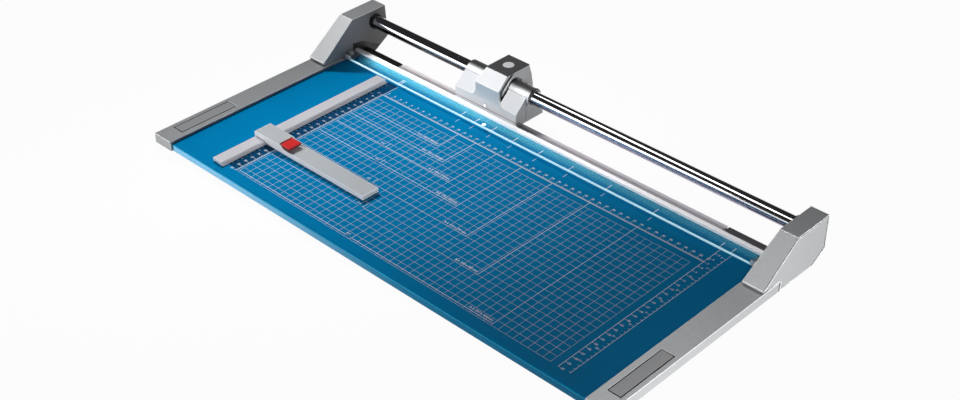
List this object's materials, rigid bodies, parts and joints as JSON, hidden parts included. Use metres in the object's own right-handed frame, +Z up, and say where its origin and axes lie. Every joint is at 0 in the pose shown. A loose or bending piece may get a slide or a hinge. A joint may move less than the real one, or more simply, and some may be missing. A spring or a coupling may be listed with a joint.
{
  "type": "rolling paper trimmer",
  "caption": "Rolling paper trimmer: a printed sheet-metal table between two end frames, with a sliding round-blade head on a guide tube, a clear clamp strip and a stop bar with a back gauge.",
  "frame": {"origin": "middle of the part's footprint on the desk, at the underside of the rubber feet", "axes": "+X along the cut to the right, +Y to the back away from the user, +Z up"},
  "size_m": [0.702, 0.367, 0.0652],
  "materials": {
    "table_enamel": "gloss",
    "rail_steel": "matte",
    "rail_aluminium": "satin",
    "knife_steel": "satin",
    "black_plastic": "matte",
    "screw_steel": "satin",
    "silver_casting": "satin",
    "silver_label": "satin",
    "silver_plastic": "satin",
    "tube_chrome": "gloss",
    "black_rubber": "matte",
    "bar_aluminium": "satin",
    "clear_plastic": "gloss",
    "bracket_steel": "satin",
    "charcoal_plastic": "satin",
    "bush_plastic": "satin",
    "hub_brass": "satin",
    "gauge_plastic": "satin",
    "red_plastic": "gloss"
  },
  "bodies": {
    "frame": {"table_plate": "table_enamel", "front_rail": "rail_steel", "knife_rail": "rail_aluminium", "counter_knife": "knife_steel", "left_knife_end": "black_plastic", "right_knife_end": "black_plastic", "knife_screws": "screw_steel", "table_screws": "screw_steel", "left_end_frame": "silver_casting", "right_end_frame": "silver_casting", "left_label_inlay": "silver_label", "right_label_inlay": "silver_label", "left_tower": "silver_casting", "right_tower": "silver_casting", "left_tower_cover": "silver_plastic", "right_tower_cover": "silver_plastic", "left_tower_insert": "black_plastic", "right_tower_insert": "black_plastic", "guide_tube": "tube_chrome", "tube_collars": "black_rubber", "tube_set_screws": "screw_steel", "rubber_feet": "black_rubber", "foot_screws": "screw_steel", "stop_bar": "bar_aluminium", "stop_bar_screws": "screw_steel", "clamp_guide_screws": "screw_steel", "clamp_springs": "screw_steel"},
    "clamp": {"clamp_strip": "clear_plastic", "left_clamp_bracket": "bracket_steel", "right_clamp_bracket": "bracket_steel"},
    "head": {"head_front_cover": "silver_plastic", "head_core": "charcoal_plastic", "head_body": "silver_plastic", "head_cap": "charcoal_plastic", "head_badge": "silver_label", "head_bushes": "bush_plastic", "head_glides": "bush_plastic", "head_screws": "screw_steel", "blade_axle": "screw_steel", "blade_spring": "screw_steel", "blade_clip": "screw_steel"},
    "blade": {"round_blade": "knife_steel", "blade_hub": "hub_brass"},
    "gauge": {"gauge_slider": "gauge_plastic", "gauge_lock_pin": "screw_steel", "gauge_brake_pad": "black_rubber", "gauge_pad_spring": "screw_steel"},
    "lever": {"gauge_lock_lever": "red_plastic"}
  },
  "joints": [
    {"name": "head_slide", "type": "slide", "parent": "frame", "child": "head", "axis": [1, 0, 0], "range_m": [-0.168, 0.37]},
    {"name": "blade_spin", "type": "hinge", "parent": "head", "child": "blade", "pos_m": [-0.1012, 0.136, 0.024], "axis": [0, 1, 0], "continuous": true},
    {"name": "clamp_press", "type": "slide", "parent": "frame", "child": "clamp", "axis": [0, 0, 1], "range_m": [-0.0018, 0], "stiffness_N_per_m": 800, "springref_m": 0.003, "deforming": ["clamp_springs"]},
    {"name": "gauge_slide", "type": "slide", "parent": "frame", "child": "gauge", "axis": [0, 1, 0], "range_m": [-0.06, 0.166]},
    {"name": "gauge_lock", "type": "hinge", "parent": "gauge", "child": "lever", "pos_m": [-0.2138, -0.0937, 0.0199], "axis": [0, -1, 0], "range_deg": [0, 55]}
  ],
  "couplings": [
    {"joint": "blade_spin", "follows": "head_slide", "rad_per_m": 75.758}
  ]
}
